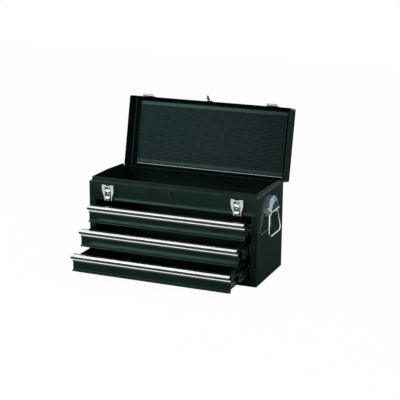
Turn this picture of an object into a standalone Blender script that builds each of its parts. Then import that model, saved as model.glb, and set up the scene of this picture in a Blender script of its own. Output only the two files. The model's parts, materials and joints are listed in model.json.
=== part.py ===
"""Portable steel tool chest: a lid over a till, above three drawers on telescopic slides.

Metres, +Z up. X runs across the width, the front faces -Y, and the origin is the centre of
the base. The chest stands as photographed: lid thrown back, drawers drawn out in steps.
"""
import math

import bmesh
import bpy

# Carcass
CHEST_WIDTH = 0.508
CHEST_DEPTH = 0.213
SHOULDER_HEIGHT = 0.2505
SHEET = 0.001
GAP = 0.0003
RIM_INSET = 0.006
RIM_HEIGHT = 0.0105
RIM_BACK_HEIGHT = 0.0050
RIM_TAPER_LEAD = 0.010
STILE_WIDTH = 0.0188
STILE_RETURN = 0.010
HEADER_DROP = 0.0515
HEADER_RETURN = 0.012
SILL_HEIGHT = 0.020
SILL_RETURN = 0.008
PAN_FLANGE = 0.012
TILL_FLANGE = 0.014
BACK_LAP = 0.012
BACK_LAP_HEM = 0.008
BACK_HEM = 0.004

# Drawers
DRAWERS = 3
FIRST_OPENING = 0.042
OPENING_STEP = 0.0503
HEADER_GAP = 0.0085
FRONT_GAP = 0.0092
SILL_GAP = 0.0081
FRONT_HEM = 0.007
STILE_CLEARANCE = 0.0016
FRONT_OVERLAP = 0.013
LIP_FLARE = 0.0063
LIP_RISE = 0.007
LIP_FACE = 0.002
TRAY_LENGTH = 0.200
TRAY_DROP = 0.003
PULL_DEPTH = 0.0150
PULL_HEIGHT = 0.0205
PULL_NOSE_DROP = 0.0034
PULL_NOSE_HEIGHT = 0.0052
PULL_LEDGE_TOP = 0.0116
PULL_LEDGE_DROP = 0.0144
PULL_LEDGE_EDGE = 0.0010
PULL_LEDGE_OUT = 0.0062
PULL_FOOT_DROP = 0.0170
PULL_FOOT_OUT = 0.0032
PULL_SHELF = 0.0045
PULL_SHELF_DROP = 0.0008
PULL_WALL = 0.0016

# Telescopic slides, drawn in a section that runs from the carcass side towards the drawer
SLIDE_LENGTH = 0.195
SLIDE_SET_BACK = 0.002
SLIDE_THICKNESS = 0.0127
SLIDE_DROP_SHARE = 0.6
OUTER_HEIGHT = 0.0294
OUTER_FLANGE = 0.0095
SLIDE_STEEL = 0.0012
RACE_STEEL = 0.0016
RACE_REACH = 0.0095
MIDDLE_WEB_INSET = 0.0031
INNER_FLANGE = 0.0061
STOP_RIVET_RADIUS = 0.0024
STOP_RIVET_RISE = 0.0012
STOP_RIVET_INSET = 0.018

# Lid
LID_DEPTH = 0.0465
LID_OPEN_DEGREES = 102.3
LID_EDGE_RADIUS = 0.005
LINER_SIDE_MARGIN = 0.0200
LINER_FRONT_MARGIN = 0.0105
LINER_BACK_MARGIN = 0.0135
LINER_PAD = 0.0030
LINER_BEVEL = 0.0015
LINER_RIB_PITCH = 0.0061
LINER_RIB_HEIGHT = 0.0012
LINER_RIB_WIDTH = 0.0036
LINER_RIBS = 27

# Hinges
HINGE_INSET = 0.104
HINGE_DROP = 0.0080
HINGE_WIDTH = 0.040
HINGE_LEAF_HEIGHT = 0.020
HINGE_LEAF = 0.0012
KNUCKLE_RADIUS = 0.003
PIN_RADIUS = 0.0015
LID_KNUCKLE_WIDTH = 0.0134
PIN_HEAD = 0.0008

# Draw latches, in a section of stand-off from the front and height
LATCH_INSET = 0.060
LATCH_SHIFT = 0.0035
LATCH_STEEL = 0.0012
LEVER_PIVOT_OUT = 0.0080
LEVER_PIVOT_DROP = 0.0215
LEVER_PIVOT_RADIUS = 0.0012
LEVER_HALF_WIDTH = 0.0082
LEVER_FACE_OUT = 0.0103
LEVER_HEEL = 0.0030
LEVER_TOE = 0.0116
LEVER_TIP_RADIUS = 0.0060
LEVER_SWING_DEGREES = 120.0
CLAW_PIVOT_OUT = 0.0060
CLAW_PIVOT_DROP = 0.0260
CLAW_PIVOT_RADIUS = 0.0011
CLAW_HALF_WIDTH = 0.0160
CLAW_TOP_DROP = 0.0045
CLAW_FACE_OUT = 0.0075
CLAW_EAR_HEIGHT = 0.0210
CLAW_FOOT_HALF_WIDTH = 0.0115
CLAW_HOOK_REACH = 0.0036
CLAW_TILT_DEGREES = 5.0
LATCH_BASE_HALF_WIDTH = 0.0100
LATCH_BASE_RISE = 0.0110
LATCH_BASE_FALL = 0.0170
LATCH_CHEEK_INSET = 0.0015
KEEPER_HALF_WIDTH = 0.0165
KEEPER_RISE = 0.013
KEEPER_DROP = 0.0095
KEEPER_REACH = 0.0070
KEEPER_LIP = 0.0036

# Padlock hasp: one eye on the carcass and one on the lid, side by side
HASP_EYE_RADIUS = 0.0062
HASP_HOLE_RADIUS = 0.0030
HASP_EYE_OUT = 0.0105
HASP_EYE_DROP = 0.0060
HASP_PLATE = 0.0016
HASP_FOOT_WIDTH = 0.015
HASP_FOOT_HEIGHT = 0.020
HASP_LID_FOOT_HEIGHT = 0.014
HASP_NECK = 0.0050

# Side handles, in a section of stand-off from the side and height
HOOD_HALF_WIDTH = 0.032
HOOD_CROWN_DROP = 0.0155
HOOD_HEIGHT = 0.039
HOOD_SIDE_RISE = 0.0128
HOOD_STAND_OFF = 0.014
HOOD_WALL_STAND_OFF = 0.009
HOOD_FACE_WIDTH_SHARE = 0.91
HOOD_FACE_HEIGHT_SHARE = 0.6
HOOD_STEEL = 0.0012
HOOD_EDGE_RADIUS = 0.002
EAR_REACH = 0.0125
EAR_RISE = 0.007
EAR_FALL = 0.014
EAR_STEEL = 0.0013
BRACKET_TONGUE_DROP = 0.005
BAIL_PIVOT_OUT = 0.0085
BAIL_PIVOT_FALL = 0.008
BAIL_WIRE_RADIUS = 0.0025
BAIL_PIVOT_HALF_SPREAD = 0.0355
BAIL_HALF_WIDTH = 0.0550
BAIL_DROP = 0.0610
BAIL_CORNER_RADIUS = 0.0180
BAIL_TILT_DEGREES = 5.0
BAIL_STUB_END = 0.0235

# Drawing aids
OVERRUN = 0.002
CIRCLE_STEPS = 24
SMOOTH_DEGREES = 35.0

ACROSS = (math.pi / 2, 0.0, math.pi / 2)
FRONT_TO_BACK = (math.pi / 2, 0.0, 0.0)
UPRIGHT = (0.0, 0.0, 0.0)

half_width = CHEST_WIDTH / 2
front_y = -CHEST_DEPTH / 2
back_y = CHEST_DEPTH / 2
inner_half_width = half_width - SHEET - GAP
front_half_width = half_width - STILE_WIDTH - STILE_CLEARANCE
tray_half_width = front_half_width - FRONT_OVERLAP
slide_wall_x = tray_half_width + GAP + SLIDE_THICKNESS + GAP
hinge_out = GAP + KNUCKLE_RADIUS
hinge_z = SHOULDER_HEIGHT - HINGE_DROP
header_bottom = SHOULDER_HEIGHT - HEADER_DROP
till_floor = header_bottom + SHEET + GAP
drawer_top = header_bottom - HEADER_GAP
drawer_pitch = (drawer_top + FRONT_GAP - SILL_GAP - SILL_HEIGHT) / DRAWERS
front_height = drawer_pitch - FRONT_GAP
slide_drop = front_height * SLIDE_DROP_SHARE
lever_pivot_z = SHOULDER_HEIGHT - LEVER_PIVOT_DROP
lever_top = lever_pivot_z + LEVER_HEEL
claw_pivot_z = lever_pivot_z - CLAW_PIVOT_DROP
lever_tip = claw_pivot_z - LEVER_TOE
claw_top = SHOULDER_HEIGHT - CLAW_TOP_DROP
hood_crown = SHOULDER_HEIGHT - HOOD_CROWN_DROP
hood_lip = hood_crown - HOOD_HEIGHT
ear_top = hood_lip + EAR_RISE
ear_bottom = hood_lip - EAR_FALL
bail_pivot_z = hood_lip - BAIL_PIVOT_FALL
bracket_half_width = HOOD_HALF_WIDTH * HOOD_FACE_WIDTH_SHARE - HOOD_STEEL - GAP


def remove_everything():
    """Start from an empty file."""
    for item in list(bpy.data.objects):
        bpy.data.objects.remove(item, do_unlink=True)


def new_collection(name):
    """A collection under the scene, made once."""
    collection = bpy.data.collections.new(name)
    bpy.context.scene.collection.children.link(collection)
    return collection


def frame(name, parent, location, turn=UPRIGHT):
    """An empty that carries the pieces of one moving assembly, on its joint axis."""
    empty = bpy.data.objects.new(name, None)
    parts.objects.link(empty)
    empty.parent = parent
    empty.location = location
    empty.rotation_euler = turn
    return empty


def finish(piece, look):
    """Give a piece its own material and smooth its round faces."""
    colour, metallic, roughness = look
    material = bpy.data.materials.new(piece.name + "_finish")
    material.use_nodes = True
    shader = material.node_tree.nodes["Principled BSDF"]
    shader.inputs["Base Color"].default_value = (*colour, 1.0)
    shader.inputs["Metallic"].default_value = metallic
    shader.inputs["Roughness"].default_value = roughness
    material.diffuse_color = (*colour, 1.0)
    piece.data.materials.clear()
    piece.data.materials.append(material)
    piece.data.shade_smooth()
    piece.data.set_sharp_from_angle(angle=math.radians(SMOOTH_DEGREES))
    return piece


def mesh_object(name, mesh, parent, location, turn):
    """Place a mesh in the parts collection."""
    piece = bpy.data.objects.new(name, mesh)
    parts.objects.link(piece)
    piece.parent = parent
    piece.location = location
    piece.rotation_euler = turn
    return piece


def extrusion(name, outline, length, parent, location, turn, holes=()):
    """A flat outline with any holes, extruded by half its length to each side."""
    curve = bpy.data.curves.new(name, "CURVE")
    curve.dimensions = "2D"
    curve.fill_mode = "BOTH"
    curve.extrude = length / 2
    for loop in (outline, *holes):
        spline = curve.splines.new("POLY")
        spline.points.add(len(loop) - 1)
        for point, (u, v) in zip(spline.points, loop):
            point.co = (u, v, 0.0, 1.0)
        spline.use_cyclic_u = True
    drawn = bpy.data.objects.new(name + "_outline", curve)
    parts.objects.link(drawn)
    mesh = solid_mesh(drawn)
    return mesh_object(name, mesh, parent, location, turn)


def solid_mesh(drawn):
    """The closed mesh of a curve object, which is then removed."""
    bpy.context.view_layer.update()
    graph = bpy.context.evaluated_depsgraph_get()
    mesh = bpy.data.meshes.new_from_object(drawn.evaluated_get(graph))
    curve = drawn.data
    bpy.data.objects.remove(drawn, do_unlink=True)
    bpy.data.curves.remove(curve)
    work = bmesh.new()
    work.from_mesh(mesh)
    bmesh.ops.remove_doubles(work, verts=work.verts, dist=GAP / 10)
    bmesh.ops.recalc_face_normals(work, faces=work.faces)
    work.to_mesh(mesh)
    work.free()
    return mesh


def folded(path, thickness):
    """The closed outline of a bent sheet whose steel lies to the left of its path."""
    normals = []
    for (u0, v0), (u1, v1) in zip(path, path[1:]):
        run = math.hypot(u1 - u0, v1 - v0)
        normals.append(((v0 - v1) / run, (u1 - u0) / run))
    inner = []
    for index, (u, v) in enumerate(path):
        before = normals[max(index - 1, 0)]
        after = normals[min(index, len(normals) - 1)]
        spread = 1.0 + before[0] * after[0] + before[1] * after[1]
        shift_u = thickness * (before[0] + after[0]) / spread
        shift_v = thickness * (before[1] + after[1]) / spread
        inner.append((u + shift_u, v + shift_v))
    return list(path) + inner[::-1]


def arc(centre, radius, start, end, steps):
    """Points along an arc, in degrees, both ends included."""
    points = []
    for step in range(steps + 1):
        angle = math.radians(start + (end - start) * step / steps)
        points.append((centre[0] + radius * math.cos(angle), centre[1] + radius * math.sin(angle)))
    return points


def circle(centre, radius):
    """A closed round outline."""
    return arc(centre, radius, 0.0, 360.0, CIRCLE_STEPS)[:-1]


def rectangle(u0, u1, v0, v1):
    """A closed rectangular outline."""
    return [(u0, v0), (u1, v0), (u1, v1), (u0, v1)]


def mirrored(points):
    """A side outline read across the centre line, kept in the same turning sense."""
    return [(-u, v) for u, v in reversed(points)]


def block(name, size, parent, location):
    """A plain box, for cuts."""
    mesh = bpy.data.meshes.new(name)
    work = bmesh.new()
    bmesh.ops.create_cube(work, size=1.0)
    bmesh.ops.scale(work, vec=size, verts=work.verts)
    work.to_mesh(mesh)
    work.free()
    return mesh_object(name, mesh, parent, location, UPRIGHT)


def rod(name, radius, length, parent, location):
    """A round bar along X."""
    return extrusion(name, circle((0.0, 0.0), radius), length, parent, location, ACROSS)


def combine(piece, tools, operation):
    """Join pieces to a piece, or cut them out of it."""
    for tool in tools:
        parts.objects.unlink(tool)
        cutters.objects.link(tool)
        tool.hide_render = True
        tool.display_type = "WIRE"
        modifier = piece.modifiers.new(tool.name, "BOOLEAN")
        modifier.operation = operation
        modifier.solver = "EXACT"
        modifier.object = tool
    return piece


def shell(name, size, open_side, thickness, parent, location, radius=0.0):
    """A pressed box of sheet with its top (1) or bottom (-1) left open."""
    mesh = bpy.data.meshes.new(name)
    work = bmesh.new()
    bmesh.ops.create_cube(work, size=1.0)
    bmesh.ops.scale(work, vec=size, verts=work.verts)
    mouth = [face for face in work.faces if face.normal.z * open_side > 0.5]
    if radius:
        edges = [edge for edge in work.edges if not any(face in mouth for face in edge.link_faces)]
        bmesh.ops.bevel(work, geom=edges, offset=radius, segments=3, profile=0.5,
                        affect="EDGES", clamp_overlap=True, material=-1)
        mouth = [face for face in work.faces if face.normal.z * open_side > 0.99]
    bmesh.ops.delete(work, geom=mouth, context="FACES_ONLY")
    work.to_mesh(mesh)
    work.free()
    piece = mesh_object(name, mesh, parent, location, UPRIGHT)
    walls = piece.modifiers.new("sheet", "SOLIDIFY")
    walls.thickness = thickness
    walls.offset = -1.0
    walls.use_even_offset = True
    return piece


BLACK_PAINT = ((0.010, 0.015, 0.013), 0.0, 0.22)
BLACK_PLATE = ((0.012, 0.013, 0.013), 0.3, 0.35)
BLACK_LINER = ((0.020, 0.032, 0.030), 0.0, 0.40)
ALUMINIUM = ((0.80, 0.81, 0.82), 1.0, 0.22)
CHROME = ((0.78, 0.79, 0.80), 1.0, 0.10)
ZINC = ((0.55, 0.58, 0.58), 1.0, 0.35)

remove_everything()
parts = new_collection("tool_chest")
cutters = new_collection("cutters")


def side_panel(side, name):
    """Side wall with its stepped rim, lower towards the hinges, its front stile and the lap
    that the back is welded to."""
    rim_x = half_width - RIM_INSET
    rim_top = SHOULDER_HEIGHT + RIM_HEIGHT
    wall = [(half_width, 0.0), (half_width, SHOULDER_HEIGHT), (rim_x, SHOULDER_HEIGHT),
            (rim_x, rim_top)]
    stile_edge = half_width - STILE_WIDTH
    stile = [(stile_edge, front_y + STILE_RETURN), (stile_edge, front_y),
             (half_width - SHEET / 2, front_y)]
    lap_y = back_y - SHEET - GAP
    lap = [(half_width - SHEET / 2, lap_y), (half_width - BACK_LAP, lap_y)]
    stile_height = header_bottom - GAP
    lap_height = SHOULDER_HEIGHT - 2 * BACK_LAP_HEM
    sections = [folded(wall, SHEET), folded(stile, SHEET), folded(lap, SHEET)]
    if side < 0:
        sections = [mirrored(section) for section in sections]
    piece = extrusion(name, sections[0], CHEST_DEPTH, None, (0.0, 0.0, 0.0), FRONT_TO_BACK)
    tools = [
        extrusion(name + "_stile", sections[1], stile_height, None,
                  (0.0, 0.0, stile_height / 2), UPRIGHT),
        extrusion(name + "_lap", sections[2], lap_height, None,
                  (0.0, 0.0, BACK_LAP_HEM + lap_height / 2), UPRIGHT),
    ]
    combine(piece, tools, "UNION")
    notch = (RIM_INSET + 2 * OVERRUN, RIM_INSET + OVERRUN, RIM_HEIGHT + OVERRUN)
    notch_x = side * (rim_x - OVERRUN / 2)
    notch_z = SHOULDER_HEIGHT + notch[2] / 2
    corners = []
    for end in (-1, 1):
        notch_y = end * (back_y - RIM_INSET + notch[1] / 2)
        corners.append(block(f"{name}_corner_{end}", notch, None, (notch_x, notch_y, notch_z)))
    taper_low = SHOULDER_HEIGHT + RIM_BACK_HEIGHT
    taper_lead = rim_top + RIM_TAPER_LEAD * (rim_top - taper_low) / back_y
    taper = [(-RIM_TAPER_LEAD, taper_lead), (back_y, taper_low),
             (back_y, rim_top + OVERRUN), (-RIM_TAPER_LEAD, rim_top + OVERRUN)]
    corners.append(extrusion(name + "_taper", taper, notch[0], None, (notch_x, 0.0, 0.0), ACROSS))
    combine(piece, corners, "DIFFERENCE")
    return finish(piece, BLACK_PAINT)


def corner_notches(piece, end_y):
    """Clear a front or back panel's shoulder and rim at the corners, for the side panels'."""
    run = half_width - RIM_INSET - SHEET - GAP
    size = (RIM_INSET + 2 * SHEET, 2 * (RIM_INSET + SHEET + OVERRUN), RIM_HEIGHT + 2 * SHEET + OVERRUN)
    z = SHOULDER_HEIGHT - SHEET - GAP + size[2] / 2
    tools = []
    for side in (-1, 1):
        x = side * (run + size[0] / 2)
        tools.append(block(f"{piece.name}_notch_{side}", size, None, (x, end_y, z)))
    combine(piece, tools, "DIFFERENCE")


def front_panel():
    """Panel above the drawers: header return, shoulder and rim folded from one sheet."""
    path = [(front_y + RIM_INSET, SHOULDER_HEIGHT + RIM_HEIGHT),
            (front_y + RIM_INSET, SHOULDER_HEIGHT), (front_y, SHOULDER_HEIGHT),
            (front_y, header_bottom), (front_y + HEADER_RETURN, header_bottom)]
    piece = extrusion("front_panel", folded(path, SHEET), 2 * inner_half_width, None,
                      (0.0, 0.0, 0.0), ACROSS)
    corner_notches(piece, front_y)
    return finish(piece, BLACK_PAINT)


def back_panel():
    """Back sheet, hemmed in at the shoulder, below the lid's hinged edge."""
    path = [(back_y, 0.0), (back_y, SHOULDER_HEIGHT), (back_y - RIM_INSET, SHOULDER_HEIGHT),
            (back_y - RIM_INSET, SHOULDER_HEIGHT - BACK_HEM)]
    piece = extrusion("back_panel", folded(path, SHEET), 2 * inner_half_width, None,
                      (0.0, 0.0, 0.0), ACROSS)
    corner_notches(piece, back_y)
    return finish(piece, BLACK_PAINT)


def base_pan():
    """Floor with side flanges, and the sill below the lowest drawer."""
    back_edge = back_y - 2 * (SHEET + GAP)
    sill = [(front_y + SILL_RETURN, SILL_HEIGHT), (front_y, SILL_HEIGHT), (front_y, 0.0),
            (back_edge, 0.0), (back_edge, PAN_FLANGE)]
    sill_width = 2 * (half_width - STILE_WIDTH - GAP)
    piece = extrusion("base_pan", folded(sill, SHEET), sill_width, None, (0.0, 0.0, 0.0), ACROSS)
    floor_front = front_y + STILE_RETURN + GAP
    floor_run = back_edge - SHEET / 2 - floor_front
    tray = [(-inner_half_width, PAN_FLANGE), (-inner_half_width, 0.0),
            (inner_half_width, 0.0), (inner_half_width, PAN_FLANGE)]
    floor = extrusion("base_pan_floor", folded(tray, SHEET), floor_run, None,
                      (0.0, floor_front + floor_run / 2, 0.0), FRONT_TO_BACK)
    combine(piece, [floor], "UNION")
    return finish(piece, BLACK_PAINT)


def slide_wall(side, name):
    """Inner wall that carries the slides, flanged out to the stile and the back."""
    flange_front = front_y + STILE_RETURN + GAP
    flange_back = back_y - 2 * (SHEET + GAP) - GAP
    reach = inner_half_width - SHEET - GAP
    path = [(reach, flange_back), (slide_wall_x, flange_back), (slide_wall_x, flange_front),
            (reach, flange_front)]
    section = folded(path, SHEET)
    if side < 0:
        section = mirrored(section)
    bottom = PAN_FLANGE + GAP
    height = header_bottom - GAP - bottom
    piece = extrusion(name, section, height, None, (0.0, 0.0, bottom + height / 2), UPRIGHT)
    return finish(piece, BLACK_PAINT)


def till_tray():
    """Shallow pan under the lid."""
    depth = CHEST_DEPTH - 4 * (SHEET + GAP)
    size = (2 * inner_half_width, depth, TILL_FLANGE)
    piece = shell("till_tray", size, 1, SHEET, None, (0.0, 0.0, till_floor + TILL_FLANGE / 2))
    return finish(piece, BLACK_PAINT)


def slide_x(side, share_of_section):
    """World X of a place in a slide's section, measured from the carcass side."""
    return side * (slide_wall_x - GAP - share_of_section)


def slide_member(name, section, side, parent, z):
    """One member of a slide: its section run from front to back."""
    world = [(slide_x(side, u), v) for u, v in section]
    y = SLIDE_SET_BACK + SLIDE_LENGTH / 2
    piece = extrusion(name, world, SLIDE_LENGTH, parent, (0.0, y, z), FRONT_TO_BACK)
    return piece


def outer_section():
    """Channel fixed to the carcass."""
    half = OUTER_HEIGHT / 2
    path = [(OUTER_FLANGE, half), (0.0, half), (0.0, -half), (OUTER_FLANGE, -half)]
    return folded(path, SLIDE_STEEL)


def middle_section():
    """Running member: a web between two ball races."""
    top = OUTER_HEIGHT / 2 - SLIDE_STEEL - GAP
    race = top - RACE_STEEL
    near = SLIDE_STEEL + GAP
    far = near + RACE_REACH
    web = near + MIDDLE_WEB_INSET
    root = race - GAP
    upper = [(near, top), (near, race), (web, root)]
    lower = [(u, -v) for u, v in reversed(upper)]
    behind = web + SLIDE_STEEL
    right = [(far, -top), (far, -race), (behind, -root), (behind, root), (far, race), (far, top)]
    return upper + lower + right


def inner_section():
    """Channel fixed to the drawer, riding inside the running member."""
    half = OUTER_HEIGHT / 2 - SLIDE_STEEL - GAP - RACE_STEEL - GAP
    near = SLIDE_THICKNESS - INNER_FLANGE
    path = [(near, -half), (SLIDE_THICKNESS, -half), (SLIDE_THICKNESS, half), (near, half)]
    return folded(path, SLIDE_STEEL)


def drawer_front(name, parent):
    """Face with a hem along its top and a lip flared forward along its foot."""
    flare_top = LIP_RISE - front_height
    path = [(FRONT_HEM, 0.0), (0.0, 0.0), (0.0, flare_top), (-LIP_FLARE, LIP_FACE - front_height),
            (-LIP_FLARE, -front_height), (0.0, -front_height)]
    piece = extrusion(name, folded(path, SHEET), 2 * front_half_width, parent,
                      (0.0, 0.0, 0.0), ACROSS)
    return finish(piece, BLACK_PAINT)


def drawer_pull(name, parent):
    """Full-width aluminium extrusion: a hollow beak out to its nose, over a ledge and a foot."""
    face = -GAP
    nose_low = PULL_NOSE_DROP + PULL_NOSE_HEIGHT
    outer = [(face, 0.0), (face, -PULL_HEIGHT), (-PULL_FOOT_OUT, -PULL_HEIGHT),
             (-PULL_FOOT_OUT, -PULL_FOOT_DROP),
             (-PULL_LEDGE_OUT, -PULL_LEDGE_DROP - PULL_LEDGE_EDGE),
             (-PULL_LEDGE_OUT, -PULL_LEDGE_DROP), (-PULL_FOOT_OUT, -PULL_LEDGE_TOP),
             (-PULL_DEPTH, -nose_low), (-PULL_DEPTH, -PULL_NOSE_DROP),
             (-PULL_SHELF, -PULL_SHELF_DROP), (-PULL_SHELF / 2, 0.0)]
    inset = [(face - PULL_WALL, -PULL_SHELF_DROP - PULL_WALL),
             (-PULL_DEPTH + PULL_WALL, -PULL_NOSE_DROP - PULL_WALL),
             (-PULL_DEPTH + PULL_WALL, -nose_low + PULL_WALL),
             (face - PULL_WALL, -PULL_LEDGE_TOP + PULL_WALL)]
    piece = extrusion(name, outer, 2 * front_half_width, parent, (0.0, 0.0, 0.0), ACROSS,
                      holes=[inset])
    return finish(piece, ALUMINIUM)


def drawer_tray(name, parent):
    """Open box behind the front."""
    size = (2 * tray_half_width, TRAY_LENGTH, front_height)
    y = SHEET + GAP + TRAY_LENGTH / 2
    z = -TRAY_DROP - front_height / 2
    return finish(shell(name, size, 1, SHEET, parent, (0.0, y, z)), BLACK_PAINT)


def drawer(number, opening):
    """One drawer with its slides: outer members on the carcass, running members half way out."""
    top = drawer_top - (number - 1) * drawer_pitch
    moving = frame(f"drawer_{number}", None, (0.0, front_y - opening, top))
    running = frame(f"runner_{number}", None, (0.0, front_y - opening / 2, top))
    drawer_front(f"drawer_{number}_front", moving)
    drawer_pull(f"drawer_{number}_pull", moving)
    drawer_tray(f"drawer_{number}_tray", moving)
    fixed = frame(f"slide_seat_{number}", None, (0.0, front_y, top))
    for side, word in ((-1, "left"), (1, "right")):
        slide = f"slide_{number}_{word}"
        finish(slide_member(f"{slide}_outer", outer_section(), side, fixed, -slide_drop), ZINC)
        middle = slide_member(f"{slide}_middle", middle_section(), side, running, -slide_drop)
        web_u = SLIDE_STEEL + GAP + MIDDLE_WEB_INSET
        rivet_length = 2 * STOP_RIVET_RISE
        rivet = rod(f"{slide}_stop_rivet", STOP_RIVET_RADIUS, rivet_length, running,
                    (slide_x(side, web_u), SLIDE_SET_BACK + STOP_RIVET_INSET, -slide_drop))
        finish(combine(middle, [rivet], "UNION"), ZINC)
        finish(slide_member(f"{slide}_inner", inner_section(), side, moving, -slide_drop), ZINC)


def knuckle_outline(up):
    """A leaf's root and its barrel, about the hinge axis; up is 1 on the lid and -1 below."""
    flat = -hinge_out + GAP
    outside = flat + HINGE_LEAF
    meet = math.degrees(math.acos(outside / KNUCKLE_RADIUS))
    root = KNUCKLE_RADIUS + 2 * GAP
    barrel = arc((0.0, 0.0), KNUCKLE_RADIUS, -meet, 180.0, CIRCLE_STEPS * 2 // 3)
    outline = [(flat, -root), (outside, -root), *barrel]
    if up > 0:
        outline = [(u, -v) for u, v in reversed(outline)]
    return outline


def hinge_leaf(name, parent, x, up):
    """A butt hinge leaf: the carcass leaf has the outer barrels, the lid leaf the middle one,
    and reaches up past the shoulder to the lid."""
    flat = -hinge_out + GAP
    root = KNUCKLE_RADIUS + GAP
    lid_reach = HINGE_DROP + HINGE_LEAF_HEIGHT
    low, high = (root, lid_reach) if up > 0 else (-HINGE_LEAF_HEIGHT, -root)
    plate = rectangle(flat, flat + HINGE_LEAF, low, high)
    piece = extrusion(name, plate, HINGE_WIDTH, parent, (x, 0.0, 0.0), ACROSS)
    bore = circle((0.0, 0.0), PIN_RADIUS + GAP)
    outline = knuckle_outline(up)
    if up > 0:
        spans = [(0.0, LID_KNUCKLE_WIDTH)]
    else:
        width = (HINGE_WIDTH - LID_KNUCKLE_WIDTH) / 2 - GAP
        offset = (HINGE_WIDTH - width) / 2
        spans = [(-offset, width), (offset, width)]
    tools = []
    for number, (offset, width) in enumerate(spans):
        tools.append(extrusion(f"{name}_barrel_{number}", outline, width, parent,
                               (x + offset, 0.0, 0.0), ACROSS, holes=[bore]))
    return finish(combine(piece, tools, "UNION"), BLACK_PLATE)


def hinge_pin(name, parent, x):
    """Pin with a flat head at each end."""
    piece = rod(name, PIN_RADIUS, HINGE_WIDTH + 2 * (GAP + PIN_HEAD / 2), parent, (x, 0.0, 0.0))
    heads = []
    for side in (-1, 1):
        head_x = x + side * (HINGE_WIDTH / 2 + GAP + PIN_HEAD / 2)
        heads.append(rod(f"{name}_head_{side}", KNUCKLE_RADIUS - GAP, PIN_HEAD, parent,
                         (head_x, 0.0, 0.0)))
    return finish(combine(piece, heads, "UNION"), ZINC)


def lid_shell(parent):
    """Pressed lid, open below, with eased top edges."""
    size = (CHEST_WIDTH, CHEST_DEPTH, LID_DEPTH)
    centre = (0.0, -hinge_out - CHEST_DEPTH / 2, GAP + LID_DEPTH / 2)
    piece = shell("lid_shell", size, -1, SHEET, parent, centre, LID_EDGE_RADIUS)
    return finish(piece, BLACK_PAINT)


def lid_liner(parent):
    """Ribbed pad set into the top of the lid, with an eased edge round a plain border."""
    top = GAP + LID_DEPTH - SHEET - GAP
    low = top - LINER_PAD
    back = -hinge_out - SHEET - LINER_BACK_MARGIN
    front = -hinge_out - CHEST_DEPTH + SHEET + LINER_FRONT_MARGIN
    middle = (front + back) / 2
    first = middle - LINER_RIB_PITCH * (LINER_RIBS - 1) / 2
    outline = [(back - LINER_BEVEL, low), (back, low + LINER_BEVEL), (back, top), (front, top),
               (front, low + LINER_BEVEL), (front + LINER_BEVEL, low)]
    for rib in range(LINER_RIBS):
        crest = first + rib * LINER_RIB_PITCH
        outline += [(crest - LINER_RIB_WIDTH / 2, low),
                    (crest - LINER_RIB_WIDTH / 5, low - LINER_RIB_HEIGHT),
                    (crest + LINER_RIB_WIDTH / 5, low - LINER_RIB_HEIGHT),
                    (crest + LINER_RIB_WIDTH / 2, low)]
    width = CHEST_WIDTH - 2 * (SHEET + LINER_SIDE_MARGIN)
    piece = extrusion("lid_liner", outline, width, parent, (0.0, 0.0, 0.0), ACROSS)
    return finish(piece, BLACK_LINER)


def keeper(name, parent, x):
    """Hook plate on the lid's front wall, curled up below the rim for the latch's claw."""
    face = -hinge_out - CHEST_DEPTH - GAP
    path = [(face, KEEPER_RISE), (face, -KEEPER_DROP), (face + GAP - KEEPER_REACH, -KEEPER_DROP),
            (face + GAP - KEEPER_REACH, KEEPER_LIP - KEEPER_DROP)]
    outline = folded(path, -LATCH_STEEL)
    piece = extrusion(name, outline, 2 * KEEPER_HALF_WIDTH, parent, (x, 0.0, 0.0), ACROSS)
    return finish(piece, CHROME)


def outward(points):
    """A section of stand-off and height, turned to face the front."""
    return [(front_y - out, height) for out, height in points]


def latch_base(name, x):
    """Riveted plate whose two cheeks hold the lever's pin."""
    plate = rectangle(x - LATCH_BASE_HALF_WIDTH, x + LATCH_BASE_HALF_WIDTH,
                      lever_pivot_z - LATCH_BASE_FALL, lever_pivot_z + LATCH_BASE_RISE)
    plate_y = front_y - GAP - LATCH_STEEL / 2
    piece = extrusion(name, plate, LATCH_STEEL, None, (0.0, plate_y, 0.0), FRONT_TO_BACK)
    pivot = (LEVER_PIVOT_OUT, lever_pivot_z)
    crown = LEVER_PIVOT_RADIUS + LATCH_STEEL * 2 / 3
    root_out = GAP + LATCH_STEEL / 2
    round_nose = arc(pivot, crown, LEVER_SWING_DEGREES - 180.0, LEVER_SWING_DEGREES,
                     CIRCLE_STEPS // 2)
    slope = math.tan(math.radians(LEVER_SWING_DEGREES - 90.0))
    cheek = [*round_nose]
    for out, height in (round_nose[-1], round_nose[0]):
        cheek.append((root_out, height - (out - root_out) * slope))
    tools = []
    cheek_x = LEVER_HALF_WIDTH - LATCH_STEEL - LATCH_CHEEK_INSET
    for side in (-1, 1):
        tools.append(extrusion(f"{name}_cheek_{side}", outward(cheek), LATCH_STEEL, None,
                               (x + side * cheek_x, 0.0, 0.0), ACROSS))
    tools.append(rod(f"{name}_pin", LEVER_PIVOT_RADIUS, 2 * (LEVER_HALF_WIDTH + GAP), None,
                     (x, front_y - LEVER_PIVOT_OUT, lever_pivot_z)))
    return finish(combine(piece, tools, "UNION"), CHROME)


def from_lever(points):
    """A section of stand-off and height, read from the lever's pivot and facing the front."""
    return [(LEVER_PIVOT_OUT - out, height - lever_pivot_z) for out, height in points]


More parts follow.
